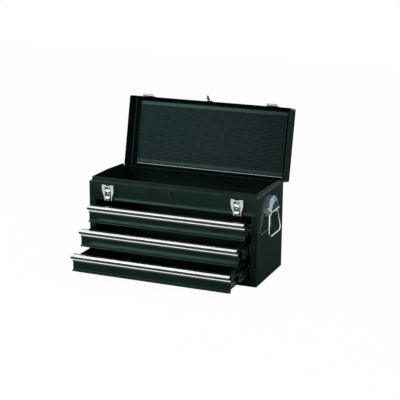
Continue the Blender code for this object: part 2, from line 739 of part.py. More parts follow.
def latch_lever(name, parent):
    """Channel-shaped lever: domed back, window, thumb curl and rounded tip."""
    half = LEVER_HALF_WIDTH
    tip = LEVER_TIP_RADIUS
    shoulder = lever_tip + tip
    face = [(half, lever_top), (-half, lever_top), (-half, shoulder + tip / 2),
            *arc((0.0, shoulder), tip, 180.0, 360.0, CIRCLE_STEPS // 3), (half, shoulder + tip / 2)]
    window_top = lever_pivot_z - tip * 3 / 2
    window_low = claw_pivot_z + tip * 5 / 4
    window = rectangle(-tip * 4 / 5, tip * 4 / 5, window_low, window_top)
    face = [(u, v - lever_pivot_z) for u, v in face]
    window = [(u, v - lever_pivot_z) for u, v in window]
    face_y = LEVER_PIVOT_OUT - LEVER_FACE_OUT - LATCH_STEEL / 2
    piece = extrusion(name, face, LATCH_STEEL, parent, (0.0, face_y, 0.0), FRONT_TO_BACK,
                      holes=[window])
    behind = CLAW_PIVOT_OUT - 2 * CLAW_PIVOT_RADIUS
    flange = [(LEVER_FACE_OUT + LATCH_STEEL / 2, lever_top),
              (LEVER_PIVOT_OUT - 2 * LEVER_PIVOT_RADIUS, lever_top),
              (behind, claw_pivot_z + 2 * CLAW_PIVOT_RADIUS),
              (behind, claw_pivot_z - 2 * CLAW_PIVOT_RADIUS),
              (LEVER_FACE_OUT + LATCH_STEEL / 2, claw_pivot_z - 2 * CLAW_PIVOT_RADIUS)]
    bore = circle((0.0, 0.0), LEVER_PIVOT_RADIUS + GAP)
    tools = []
    for side in (-1, 1):
        tools.append(extrusion(f"{name}_flange_{side}", from_lever(flange), LATCH_STEEL, parent,
                               (side * (half - LATCH_STEEL / 2), 0.0, 0.0), ACROSS, holes=[bore]))
    pin_y = LEVER_PIVOT_OUT - CLAW_PIVOT_OUT
    pin_z = claw_pivot_z - lever_pivot_z
    reach = half + 2 * GAP + LATCH_STEEL
    tools.append(rod(f"{name}_claw_pin", CLAW_PIVOT_RADIUS, 2 * reach, parent, (0.0, pin_y, pin_z)))
    curl_y = LEVER_PIVOT_OUT - LEVER_FACE_OUT
    curl_z = shoulder + tip * 4 / 3 - lever_pivot_z
    tools.append(rod(f"{name}_curl", tip * 2 / 3, 2 * half - 2 * LATCH_STEEL, parent,
                     (0.0, curl_y, curl_z)))
    combine(piece, tools, "UNION")
    return finish(piece, CHROME)


def from_claw(points):
    """A section of stand-off and height, read from the claw's pivot and facing the front."""
    return [(CLAW_PIVOT_OUT - out, height - claw_pivot_z) for out, height in points]


def latch_claw(name, parent):
    """Hooked head with two ears on tapering arms that straddle the lever."""
    inside = LEVER_HALF_WIDTH + 2 * GAP
    wide = CLAW_HALF_WIDTH
    foot = claw_pivot_z - 2 * CLAW_PIVOT_RADIUS - LATCH_STEEL
    dip = 2 * LATCH_STEEL
    bar_low = lever_top + 3 * LATCH_STEEL
    ear_low = claw_top - CLAW_EAR_HEIGHT
    right = [(inside, bar_low), (inside, foot), (CLAW_FOOT_HALF_WIDTH, foot),
             (wide - dip / 2, ear_low - dip), (wide, ear_low), (wide, claw_top),
             (wide / 2, claw_top), (wide / 2 - dip / 2, claw_top - dip)]
    outline = right + mirrored(right)
    outline = [(u, v - claw_pivot_z) for u, v in outline]
    face_y = CLAW_PIVOT_OUT - CLAW_FACE_OUT - LATCH_STEEL / 2
    piece = extrusion(name, outline, LATCH_STEEL, parent, (0.0, face_y, 0.0), FRONT_TO_BACK)
    pivot = (CLAW_PIVOT_OUT, claw_pivot_z)
    eye = 2 * CLAW_PIVOT_RADIUS + GAP
    cheek = [(CLAW_FACE_OUT + LATCH_STEEL / 2, claw_pivot_z + 2 * eye),
             *arc(pivot, eye, 120.0, 270.0, CIRCLE_STEPS // 3),
             (CLAW_FACE_OUT + LATCH_STEEL / 2, claw_pivot_z - eye)]
    bore = circle((0.0, 0.0), CLAW_PIVOT_RADIUS + GAP)
    hook = rectangle(CLAW_FACE_OUT - CLAW_HOOK_REACH, CLAW_FACE_OUT + LATCH_STEEL / 2,
                     claw_top - LATCH_STEEL, claw_top)
    tools = []
    hook_width = wide / 2
    for side in (-1, 1):
        tools.append(extrusion(f"{name}_cheek_{side}", from_claw(cheek), LATCH_STEEL, parent,
                               (side * (inside + LATCH_STEEL / 2), 0.0, 0.0), ACROSS, holes=[bore]))
        tools.append(extrusion(f"{name}_hook_{side}", from_claw(hook), hook_width, parent,
                               (side * (wide - hook_width / 2), 0.0, 0.0), ACROSS))
    return finish(combine(piece, tools, "UNION"), CHROME)


def draw_latch(side, word):
    """Base on the carcass, lever on its pin and claw on the lever."""
    x = side * (half_width - LATCH_INSET) + LATCH_SHIFT
    latch_base(f"latch_{word}_base", x)
    lever = frame(f"latch_{word}_lever_pivot", None,
                  (x, front_y - LEVER_PIVOT_OUT, lever_pivot_z))
    latch_lever(f"latch_{word}_lever", lever)
    drop = claw_pivot_z - lever_pivot_z
    claw = frame(f"latch_{word}_claw_pivot", lever, (0.0, LEVER_PIVOT_OUT - CLAW_PIVOT_OUT, drop),
                 (math.radians(CLAW_TILT_DEGREES), 0.0, 0.0))
    latch_claw(f"latch_{word}_claw", claw)


def hasp_eye(name, parent, wall_y, seat_z, x, eye_z, foot_low, foot_high):
    """A foot on the wall and a pierced eye that stands out from it."""
    eye_centre = (wall_y - HASP_EYE_OUT, eye_z)
    inner = wall_y - GAP - HASP_PLATE / 2
    if seat_z > eye_z:
        body = [(inner, seat_z + HASP_NECK / 2), (inner, seat_z - HASP_NECK / 2),
                *arc(eye_centre, HASP_EYE_RADIUS, -30.0, -240.0, CIRCLE_STEPS // 2)]
    else:
        body = [(inner, eye_z + HASP_NECK), (inner, eye_z - HASP_NECK),
                *arc(eye_centre, HASP_EYE_RADIUS, -60.0, -300.0, CIRCLE_STEPS // 2)]
    hole = circle(eye_centre, HASP_HOLE_RADIUS)
    piece = extrusion(name, body, HASP_PLATE, parent, (x, 0.0, 0.0), ACROSS, holes=[hole])
    foot = rectangle(wall_y - GAP - HASP_PLATE, wall_y - GAP, foot_low, foot_high)
    plate = extrusion(f"{name}_foot", foot, HASP_FOOT_WIDTH, parent, (0.0, 0.0, 0.0), ACROSS)
    return finish(combine(piece, [plate], "UNION"), BLACK_PLATE)


def hasp(lid):
    """The two eyes that a padlock passes through when the lid is down."""
    x = HASP_PLATE / 2 + GAP
    eye_z = SHOULDER_HEIGHT - HASP_EYE_DROP - HASP_EYE_RADIUS
    hasp_eye("hasp_eye_case", None, front_y, eye_z, -x, eye_z,
             eye_z - HASP_FOOT_HEIGHT / 2, eye_z + HASP_FOOT_HEIGHT / 2)
    lid_front = -hinge_out - CHEST_DEPTH
    seat = HASP_LID_FOOT_HEIGHT / 2
    hasp_eye("hasp_eye_lid", lid, lid_front, seat, x, eye_z - SHOULDER_HEIGHT,
             GAP, GAP + HASP_LID_FOOT_HEIGHT)


def hood(name, parent):
    """Stamped cover over the bail's pivots: an arched wall, a roof that slopes down to a smaller
    face, and a lip cut back to the side so that it is open below."""
    crown_centre = hood_crown - HOOD_HALF_WIDTH
    foot = hood_lip - HOOD_SIDE_RISE
    outline = [(HOOD_HALF_WIDTH, foot),
               *arc((0.0, crown_centre), HOOD_HALF_WIDTH, 0.0, 180.0, CIRCLE_STEPS // 2),
               (-HOOD_HALF_WIDTH, foot)]
    mesh = bpy.data.meshes.new(name)
    work = bmesh.new()
    back = work.faces.new([work.verts.new((GAP, u, v)) for u, v in outline])
    wall = bmesh.ops.extrude_face_region(work, geom=[back])["geom"]
    shoulder = [item for item in wall if isinstance(item, bmesh.types.BMVert)]
    cap = [item for item in wall if isinstance(item, bmesh.types.BMFace)]
    for vert in shoulder:
        vert.co.x = HOOD_WALL_STAND_OFF
    roof = bmesh.ops.extrude_face_region(work, geom=cap)["geom"]
    outer = [item for item in roof if isinstance(item, bmesh.types.BMVert)]
    for vert in outer:
        vert.co.x = HOOD_STAND_OFF
        vert.co.y = vert.co.y * HOOD_FACE_WIDTH_SHARE
        vert.co.z = hood_lip + (vert.co.z - hood_lip) * HOOD_FACE_HEIGHT_SHARE
    bmesh.ops.delete(work, geom=[back, *cap], context="FACES_ONLY")
    bmesh.ops.recalc_face_normals(work, faces=work.faces)
    edges = [edge for edge in work.edges if len(edge.link_faces) == 2
             and (all(vert in outer for vert in edge.verts)
                  or all(vert in shoulder for vert in edge.verts))]
    bmesh.ops.bevel(work, geom=edges, offset=HOOD_EDGE_RADIUS, segments=2, profile=0.5,
                    affect="EDGES", clamp_overlap=True, material=-1)
    lean = (HOOD_SIDE_RISE, 0.0, HOOD_STAND_OFF)
    everything = work.verts[:] + work.edges[:] + work.faces[:]
    bmesh.ops.bisect_plane(work, geom=everything, plane_co=(HOOD_STAND_OFF, 0.0, hood_lip),
                           plane_no=lean, clear_inner=True)
    bmesh.ops.remove_doubles(work, verts=work.verts, dist=GAP / 10)
    work.to_mesh(mesh)
    work.free()
    piece = mesh_object(name, mesh, parent, (0.0, 0.0, 0.0), UPRIGHT)
    walls = piece.modifiers.new("sheet", "SOLIDIFY")
    walls.thickness = HOOD_STEEL
    walls.offset = -1.0
    walls.use_even_offset = True
    return finish(piece, CHROME)


def handle_bracket(name, parent):
    """Plate on the side with a tongue below and two ears that carry the bail."""
    half = bracket_half_width
    tongue = half / 3
    low = ear_bottom
    foot = low - GAP
    plate = [(half, low), (half, ear_top), (-half, ear_top), (-half, low), (-tongue, foot),
             (-tongue / 2, low - BRACKET_TONGUE_DROP), (tongue / 2, low - BRACKET_TONGUE_DROP),
             (tongue, foot)]
    piece = extrusion(name, plate, EAR_STEEL, parent, (GAP + EAR_STEEL / 2, 0.0, 0.0), ACROSS)
    pivot = (BAIL_PIVOT_OUT, bail_pivot_z)
    nose = EAR_REACH - BAIL_PIVOT_OUT
    ear_head = ear_top - GAP
    ear = [(GAP + EAR_STEEL / 2, ear_head), (GAP + EAR_STEEL / 2, low + GAP),
           *arc(pivot, bail_pivot_z - low - GAP, -90.0, -45.0, CIRCLE_STEPS // 6),
           (BAIL_PIVOT_OUT + nose, bail_pivot_z), (BAIL_PIVOT_OUT - nose / 3, ear_head)]
    bore = circle(pivot, BAIL_WIRE_RADIUS + GAP)
    tools = []
    for side in (-1, 1):
        tools.append(extrusion(f"{name}_ear_{side}", ear, EAR_STEEL, parent,
                               (0.0, side * (half - GAP - EAR_STEEL / 2), 0.0), FRONT_TO_BACK,
                               holes=[bore]))
    return finish(combine(piece, tools, "UNION"), CHROME)


def bail(name, parent):
    """Bent wire handle: pivot stubs, legs that splay, and a grip with rounded corners."""
    half_grip = BAIL_HALF_WIDTH
    splay = math.atan2(half_grip - BAIL_PIVOT_HALF_SPREAD, BAIL_DROP)
    radius = BAIL_CORNER_RADIUS
    turn = math.pi / 2 + splay
    tangent = radius / math.tan((math.pi - turn) / 2)
    corner_y = half_grip - tangent
    bend_start = math.degrees(-splay)
    elbow = BAIL_WIRE_RADIUS
    half = [(BAIL_STUB_END, 0.0), (BAIL_PIVOT_HALF_SPREAD - elbow, 0.0),
            (BAIL_PIVOT_HALF_SPREAD, -elbow)]
    half += arc((corner_y, radius - BAIL_DROP), radius, bend_start, -90.0, CIRCLE_STEPS // 4)
    path = half + [(-y, z) for y, z in reversed(half)]
    curve = bpy.data.curves.new(name, "CURVE")
    curve.dimensions = "3D"
    curve.bevel_depth = BAIL_WIRE_RADIUS
    curve.bevel_resolution = 3
    curve.use_fill_caps = True
    spline = curve.splines.new("POLY")
    spline.points.add(len(path) - 1)
    for point, (y, z) in zip(spline.points, path):
        point.co = (0.0, y, z, 1.0)
    drawn = bpy.data.objects.new(name + "_wire", curve)
    parts.objects.link(drawn)
    mesh = solid_mesh(drawn)
    return finish(mesh_object(name, mesh, parent, (0.0, 0.0, 0.0), UPRIGHT), CHROME)


def side_handle(word, half_turn):
    """Hood, bracket and bail on one side; the other side is the same, turned about Z."""
    side_x = half_width if half_turn == 0 else -half_width
    seat = frame(f"handle_{word}_seat", None, (side_x, 0.0, 0.0), (0.0, 0.0, half_turn * math.pi))
    hood(f"handle_{word}_hood", seat)
    handle_bracket(f"handle_{word}_bracket", seat)
    swing = frame(f"handle_{word}_pivot", seat, (BAIL_PIVOT_OUT, 0.0, bail_pivot_z),
                  (0.0, -math.radians(BAIL_TILT_DEGREES), 0.0))
    bail(f"handle_{word}_bail", swing)


def tool_chest():
    """Carcass, lid, hinges, drawers, latches, hasp and handles."""
    for side, word in ((-1, "left"), (1, "right")):
        side_panel(side, f"side_panel_{word}")
        slide_wall(side, f"slide_wall_{word}")
    front_panel()
    back_panel()
    base_pan()
    till_tray()
    for number in range(1, DRAWERS + 1):
        drawer(number, FIRST_OPENING + OPENING_STEP * (number - 1))
    axis = (0.0, back_y + hinge_out, hinge_z)
    fixed = frame("hinge_axis", None, axis)
    swing = frame("lid_swing", None, axis, (-math.radians(LID_OPEN_DEGREES), 0.0, 0.0))
    lid = frame("lid", swing, (0.0, 0.0, HINGE_DROP))
    lid_shell(lid)
    lid_liner(lid)
    for side, word in ((-1, "left"), (1, "right")):
        hinge_x = side * (half_width - HINGE_INSET)
        hinge_leaf(f"hinge_{word}_case_leaf", fixed, hinge_x, -1)
        hinge_leaf(f"hinge_{word}_lid_leaf", swing, hinge_x, 1)
        hinge_pin(f"hinge_{word}_pin", fixed, hinge_x)
        keeper_x = side * (half_width - LATCH_INSET) + LATCH_SHIFT
        keeper(f"latch_{word}_keeper", lid, keeper_x)
        draw_latch(side, word)
    hasp(lid)
    side_handle("right", 0)
    side_handle("left", 1)


tool_chest()
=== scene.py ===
"""Looks of a black enamelled steel tool chest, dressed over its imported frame."""
import json
import math

import bmesh
import bpy
from mathutils import Matrix, Vector


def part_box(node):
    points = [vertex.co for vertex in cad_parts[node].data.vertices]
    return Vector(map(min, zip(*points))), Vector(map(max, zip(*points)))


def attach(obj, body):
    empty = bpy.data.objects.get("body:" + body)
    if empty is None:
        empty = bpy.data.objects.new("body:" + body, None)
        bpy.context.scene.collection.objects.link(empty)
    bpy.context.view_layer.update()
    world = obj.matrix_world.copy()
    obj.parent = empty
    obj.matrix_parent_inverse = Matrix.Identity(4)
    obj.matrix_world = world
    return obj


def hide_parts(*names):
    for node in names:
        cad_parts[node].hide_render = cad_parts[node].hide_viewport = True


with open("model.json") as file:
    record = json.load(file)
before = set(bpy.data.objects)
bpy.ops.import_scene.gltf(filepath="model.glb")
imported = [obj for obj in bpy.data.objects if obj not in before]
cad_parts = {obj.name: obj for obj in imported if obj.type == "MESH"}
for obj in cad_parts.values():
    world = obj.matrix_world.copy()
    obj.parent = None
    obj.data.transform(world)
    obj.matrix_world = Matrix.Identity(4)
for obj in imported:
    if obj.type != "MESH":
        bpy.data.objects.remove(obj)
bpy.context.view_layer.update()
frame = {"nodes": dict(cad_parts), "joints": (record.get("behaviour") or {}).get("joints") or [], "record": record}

nodes = frame["nodes"]
joints = {joint["name"]: joint for joint in frame["joints"]}

# Forms are drawn in millimetres and brought to metres when they are finished.
MM = 0.001
SIDES = (("left", -1), ("right", 1))
DRAWERS = (1, 2, 3)
# Gauge of the panels, how far fixed plates stand off them, and the step of the case's rim.
SHEET = 1.0
GAP = 0.3
RIM_HEIGHT = 10.5


def linear(hex_colour):
    """An sRGB hex value as linear colour."""
    channels = []
    for place in (0, 2, 4):
        value = int(hex_colour[place:place + 2], 16) / 255
        channels.append(value / 12.92 if value <= 0.04045 else ((value + 0.055) / 1.055) ** 2.4)
    return (*channels, 1.0)


def add_node(tree, kind, links=(), **settings):
    """A node with its settings; a name with a capital is a socket, any other an attribute.
    Each link is (its input, another node, that node's output)."""
    item = tree.nodes.new("ShaderNode" + kind)
    for name, value in settings.items():
        if name[0].isupper():
            item.inputs[name.replace("_", " ")].default_value = value
        else:
            setattr(item, name, value)
    for socket, source, output in links:
        tree.links.new(source.outputs[output], item.inputs[socket])
    return item


def start_material(name, **settings):
    """A material, its tree and its Principled shader with the settings that hold all over it."""
    material = bpy.data.materials.new(name)
    material.use_nodes = True
    tree = material.node_tree
    shader = tree.nodes["Principled BSDF"]
    for socket, value in settings.items():
        shader.inputs[socket.replace("_", " ")].default_value = value
    return material, tree, shader


def black_enamel(name, gloss_level, dark, pale):
    """Baked stoving enamel on pressed sheet: near black with a green cast, a soft gloss that
    clouds slightly, faint orange peel and sheet edges that look rounded under the coat."""
    material, tree, shader = start_material(name, Specular_IOR_Level=gloss_level,
                                            Specular_Tint=linear("b4f0d8"))
    place = add_node(tree, "TexCoord")
    cloud = add_node(tree, "TexNoise", [("Vector", place, "Object")], Scale=1 / (70 * MM),
                     Detail=3.0)
    peel = add_node(tree, "TexNoise", [("Vector", place, "Object")], Scale=1 / (3.5 * MM),
                    Detail=1.0)
    gloss = add_node(tree, "MapRange", [("Value", cloud, "Fac")], From_Min=0.3, From_Max=0.7,
                     To_Min=0.12, To_Max=0.20)
    tint = add_node(tree, "Mix", [("Factor", cloud, "Fac")], data_type="RGBA",
                    A=linear(dark), B=linear(pale))
    edges = add_node(tree, "Bevel", Radius=1.2 * MM, samples=4)
    relief = add_node(tree, "Bump", [("Height", peel, "Fac"), ("Normal", edges, "Normal")],
                      Strength=1.0, Distance=0.012 * MM)
    tree.links.new(tint.outputs["Result"], shader.inputs["Base Color"])
    tree.links.new(gloss.outputs["Result"], shader.inputs["Roughness"])
    tree.links.new(relief.outputs["Normal"], shader.inputs["Normal"])
    return material


def ribbed_liner():
    """Vacuum-formed black ABS, satin, with a fine pebble."""
    material, tree, shader = start_material("ribbed_liner", Base_Color=linear("070e0d"),
                                            Specular_IOR_Level=0.28,
                                            Specular_Tint=linear("b8f4ee"))
    place = add_node(tree, "TexCoord")
    pebble = add_node(tree, "TexNoise", [("Vector", place, "Object")], Scale=1 / (1.2 * MM),
                      Detail=2.0)
    dull = add_node(tree, "MapRange", [("Value", pebble, "Fac")], From_Min=0.3, From_Max=0.7,
                    To_Min=0.18, To_Max=0.28)
    relief = add_node(tree, "Bump", [("Height", pebble, "Fac")], Strength=1.0,
                      Distance=0.02 * MM)
    tree.links.new(dull.outputs["Result"], shader.inputs["Roughness"])
    tree.links.new(relief.outputs["Normal"], shader.inputs["Normal"])
    return material


def bright_aluminium():
    """Bright-dipped aluminium extrusion, with the die's lines along its length."""
    material, tree, shader = start_material("bright_aluminium", Base_Color=linear("eceeef"),
                                            Metallic=1.0)
    place = add_node(tree, "TexCoord")
    along = add_node(tree, "Mapping", [("Vector", place, "Object")], Scale=(0.01, 1.0, 1.0))
    lines = add_node(tree, "TexNoise", [("Vector", along, "Vector")], Scale=1 / (0.8 * MM),
                     Detail=2.0)
    gloss = add_node(tree, "MapRange", [("Value", lines, "Fac")], From_Min=0.3, From_Max=0.7,
                     To_Min=0.07, To_Max=0.13)
    relief = add_node(tree, "Bump", [("Height", lines, "Fac")], Strength=1.0,
                      Distance=0.004 * MM)
    tree.links.new(gloss.outputs["Result"], shader.inputs["Roughness"])
    tree.links.new(relief.outputs["Normal"], shader.inputs["Normal"])
    return material


def chrome_plate():
    """Bright nickel-chrome over stamped steel: a mirror, softened by the pressing under it."""
    material, tree, shader = start_material("chrome_plate", Base_Color=linear("e2e6e8"),
                                            Metallic=1.0)
    place = add_node(tree, "TexCoord")
    waves = add_node(tree, "TexNoise", [("Vector", place, "Object")], Scale=1 / (7 * MM),
                     Detail=1.0)
    gloss = add_node(tree, "MapRange", [("Value", waves, "Fac")], From_Min=0.3, From_Max=0.7,
                     To_Min=0.06, To_Max=0.16)
    edges = add_node(tree, "Bevel", Radius=0.5 * MM, samples=4)
    relief = add_node(tree, "Bump", [("Height", waves, "Fac"), ("Normal", edges, "Normal")],
                      Strength=1.0, Distance=0.04 * MM)
    tree.links.new(gloss.outputs["Result"], shader.inputs["Roughness"])
    tree.links.new(relief.outputs["Normal"], shader.inputs["Normal"])
    return material


def bright_zinc():
    """Zinc-plated cold-rolled steel: grey, clouded, with the film of slide grease."""
    material, tree, shader = start_material("bright_zinc", Metallic=1.0)
    place = add_node(tree, "TexCoord")
    cloud = add_node(tree, "TexNoise", [("Vector", place, "Object")], Scale=1 / (9 * MM),
                     Detail=4.0)
    gloss = add_node(tree, "MapRange", [("Value", cloud, "Fac")], From_Min=0.3, From_Max=0.7,
                     To_Min=0.16, To_Max=0.30)
    tint = add_node(tree, "Mix", [("Factor", cloud, "Fac")], data_type="RGBA",
                    A=linear("5f6f69"), B=linear("86938e"))
    edges = add_node(tree, "Bevel", Radius=0.6 * MM, samples=4)
    tree.links.new(tint.outputs["Result"], shader.inputs["Base Color"])
    tree.links.new(gloss.outputs["Result"], shader.inputs["Roughness"])
    tree.links.new(edges.outputs["Normal"], shader.inputs["Normal"])
    return material


def satin_nickel():
    """Dull nickel on deep-drawn steel: it greys what it mirrors, with a cold blue cast."""
    material, tree, shader = start_material("satin_nickel", Base_Color=linear("93a7b3"),
                                            Metallic=1.0)
    place = add_node(tree, "TexCoord")
    grain = add_node(tree, "TexNoise", [("Vector", place, "Object")], Scale=1 / (2.5 * MM),
                     Detail=3.0)
    gloss = add_node(tree, "MapRange", [("Value", grain, "Fac")], From_Min=0.3, From_Max=0.7,
                     To_Min=0.20, To_Max=0.34)
    edges = add_node(tree, "Bevel", Radius=0.6 * MM, samples=4)
    tree.links.new(gloss.outputs["Result"], shader.inputs["Roughness"])
    tree.links.new(edges.outputs["Normal"], shader.inputs["Normal"])
    return material


def tumbled_nickel():
    """Barrel-tumbled nickel on stampings: pale, and too dull to mirror what stands near."""
    material, tree, shader = start_material("tumbled_nickel", Base_Color=linear("eef2f0"),
                                            Metallic=1.0)
    place = add_node(tree, "TexCoord")
    grain = add_node(tree, "TexNoise", [("Vector", place, "Object")], Scale=1 / (1.5 * MM),
                     Detail=2.0)
    gloss = add_node(tree, "MapRange", [("Value", grain, "Fac")], From_Min=0.3, From_Max=0.7,
                     To_Min=0.52, To_Max=0.66)
    edges = add_node(tree, "Bevel", Radius=0.8 * MM, samples=4)
    tree.links.new(gloss.outputs["Result"], shader.inputs["Roughness"])
    tree.links.new(edges.outputs["Normal"], shader.inputs["Normal"])
    return material


def black_oxide():
    """Chemically blackened steel: satin, near black, a little paler where the oxide is thin."""
    material, tree, shader = start_material("black_oxide", Metallic=0.3)
    place = add_node(tree, "TexCoord")
    cloud = add_node(tree, "TexNoise", [("Vector", place, "Object")], Scale=1 / (5 * MM),
                     Detail=3.0)
    gloss = add_node(tree, "MapRange", [("Value", cloud, "Fac")], From_Min=0.3, From_Max=0.7,
                     To_Min=0.30, To_Max=0.45)
    tint = add_node(tree, "Mix", [("Factor", cloud, "Fac")], data_type="RGBA",
                    A=linear("0c1512"), B=linear("17201d"))
    tree.links.new(tint.outputs["Result"], shader.inputs["Base Color"])
    tree.links.new(gloss.outputs["Result"], shader.inputs["Roughness"])
    return material


ENAMEL = black_enamel("black_enamel", 0.35, "14221d", "1c2e27")
# A duller, darker copy of the enamel, with shade painted into its colour, for the pressings that mostly show their
# inner face.
SHADE_DARKENED_ENAMEL = black_enamel("shade_darkened_black_enamel", 0.16, "0e1915", "14211c")
LINER = ribbed_liner()
ALUMINIUM = bright_aluminium()
CHROME = chrome_plate()
ZINC = bright_zinc()
OXIDE = black_oxide()
NICKEL = satin_nickel()
TUMBLED = tumbled_nickel()
FINISHES = {"black_paint": ENAMEL, "black_plate": OXIDE, "liner": LINER, "aluminium": ALUMINIUM,
            "chrome": CHROME, "zinc": ZINC}


def dress_frame():
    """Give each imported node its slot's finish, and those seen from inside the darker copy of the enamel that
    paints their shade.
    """
    inner = ["lid_shell", "till_tray", "back_panel", "base_pan", "slide_wall_left",
             "slide_wall_right"] + [f"drawer_{number}_tray" for number in DRAWERS]
    for part in frame["record"]["subparts"]:
        # Inner pressings get the enamel copy whose darker colour is painted shade.
        coat = SHADE_DARKENED_ENAMEL if part["node"] in inner else FINISHES[part["material_slot"]]
        for place in nodes[part["node"]].material_slots:
            place.material = coat


def box_mm(node):
    """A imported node's lowest and highest corners in millimetres."""
    low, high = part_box(node)
    return Vector(low) / MM, Vector(high) / MM


CASE_LOW, CASE_HIGH = box_mm("side_panel_right")
HALF = CASE_HIGH.x
FRONT = CASE_LOW.y
BACK = CASE_HIGH.y
RIM_TOP = CASE_HIGH.z
SHOULDER = RIM_TOP - RIM_HEIGHT
HINGE = Vector(joints["lid_hinge"]["pos_m"]) / MM
LID_OPEN = joints["lid_hinge"]["range_deg"][1]
LID_DROP = SHOULDER - HINGE.z
# The lid is drawn shut, about its hinge line raised to the shoulder, and then thrown open.
LID_TURN = (Matrix.Translation(HINGE) @ Matrix.Rotation(-math.radians(LID_OPEN), 4, "X")
            @ Matrix.Translation((0.0, 0.0, LID_DROP)))
LID_FRONT = FRONT - HINGE.y
LID_BACK = BACK - HINGE.y
# The lid's top above the shoulder, and the reach of the pad's ribbed field within the lid.
LID_TOP = 46.8
PAD_FRONT = LID_FRONT + SHEET + 10.5
PAD_BACK = LID_BACK - SHEET - 13.5
PAD_HALF = HALF - SHEET - 20.0
# Where a hinge's middle stands, in from the end of the case.
HINGE_INSET = 104.0


def finish_piece(name, form, slot, body, stands_for=(), sheet=0.0, smooth=40.0, finish=None):
    """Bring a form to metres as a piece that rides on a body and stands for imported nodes.
    A sheet's steel lies behind its faces."""
    bmesh.ops.scale(form, vec=(MM, MM, MM), verts=form.verts)
    mesh = bpy.data.meshes.new(name)
    form.to_mesh(mesh)
    form.free()
    mesh.materials.append(finish or FINISHES[slot])
    piece = bpy.data.objects.new(name, mesh)
    bpy.context.scene.collection.objects.link(piece)
    if sheet:
        steel = piece.modifiers.new("steel", "SOLIDIFY")
        steel.thickness = sheet * MM
        steel.offset = -1.0
        steel.use_even_offset = True
        bpy.context.view_layer.update()
        solid = piece.evaluated_get(bpy.context.evaluated_depsgraph_get())
        piece.data = bpy.data.meshes.new_from_object(solid)
        piece.modifiers.clear()
        bpy.data.meshes.remove(mesh)
    piece.data.shade_smooth()
    piece.data.set_sharp_from_angle(angle=math.radians(smooth))
    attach(piece, body)
    if stands_for:
        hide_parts(*stands_for)


def new_verts(grown):
    """The vertices that an extrusion made."""
    return [item for item in grown["geom"] if isinstance(item, bmesh.types.BMVert)]


def round_edges(form, edges, radius, segments=4):
    """Round a form's edges."""
    bmesh.ops.bevel(form, geom=edges, offset=radius, segments=segments, profile=0.5,
                    affect="EDGES", clamp_overlap=True, material=-1)


def bent_sheet(path, low_x, high_x, bend):
    """A sheet folded along X from a path of (y, z), with round bends and steel behind it."""
    form = bmesh.new()
    line = [form.verts.new((low_x, y, z)) for y, z in path]
    edges = [form.edges.new(pair) for pair in zip(line, line[1:])]
    grown = bmesh.ops.extrude_edge_only(form, edges=edges)
    bmesh.ops.translate(form, vec=(high_x - low_x, 0.0, 0.0), verts=new_verts(grown))
    round_edges(form, [edge for edge in form.edges if len(edge.link_faces) == 2], bend)
    return form


def slab(outline, corner, thickness, edge):
    """A flat outline in X and Z with rounded corners, its front face at Y = 0 and softened."""
    form = bmesh.new()
    front = form.faces.new([form.verts.new((x, 0.0, z)) for x, z in outline])
    form.normal_update()
    if front.normal.y > 0:
        bmesh.ops.reverse_faces(form, faces=[front])
    if corner:
        bmesh.ops.bevel(form, geom=form.verts[:], offset=corner, segments=4, profile=0.5,
                        affect="VERTICES", clamp_overlap=True, material=-1)
    grown = bmesh.ops.extrude_face_region(form, geom=form.faces[:])
    bmesh.ops.translate(form, vec=(0.0, thickness, 0.0), verts=new_verts(grown))
    bmesh.ops.recalc_face_normals(form, faces=form.faces)
    rims = [edge for edge in form.edges
            if all(face.calc_area() > 0 for face in edge.link_faces)
            and len({round(face.normal.y) for face in edge.link_faces}) == 2]
    round_edges(form, rims, edge, 3)
    return form


def join(form, other, turn=None):
    """Add a second form's faces to a form."""
    if turn is not None:
        other.transform(turn)
    mesh = bpy.data.meshes.new("joined")
    other.to_mesh(mesh)
    other.free()
    form.from_mesh(mesh)
    bpy.data.meshes.remove(mesh)


def dome(radius, rise, place, facing):
    """A rivet's head: a flattened ball half sunk in the sheet at a place, facing one way."""
    form = bmesh.new()
    bmesh.ops.create_uvsphere(form, u_segments=16, v_segments=8, radius=radius)
    bmesh.ops.scale(form, vec=(1.0, 1.0, rise / radius), verts=form.verts)
    turn = Vector(facing).to_track_quat("Z", "Y").to_matrix().to_4x4()
    form.transform(Matrix.Translation(place) @ turn)
    return form


def rivets(name, slot, body, places, radius, rise, turn=None):
    """A body's rivet heads as one piece."""
    form = bmesh.new()
    for place, facing in places:
        join(form, dome(radius, rise, place, facing))
    if turn is not None:
        form.transform(turn)
    finish_piece(name, form, slot, body)


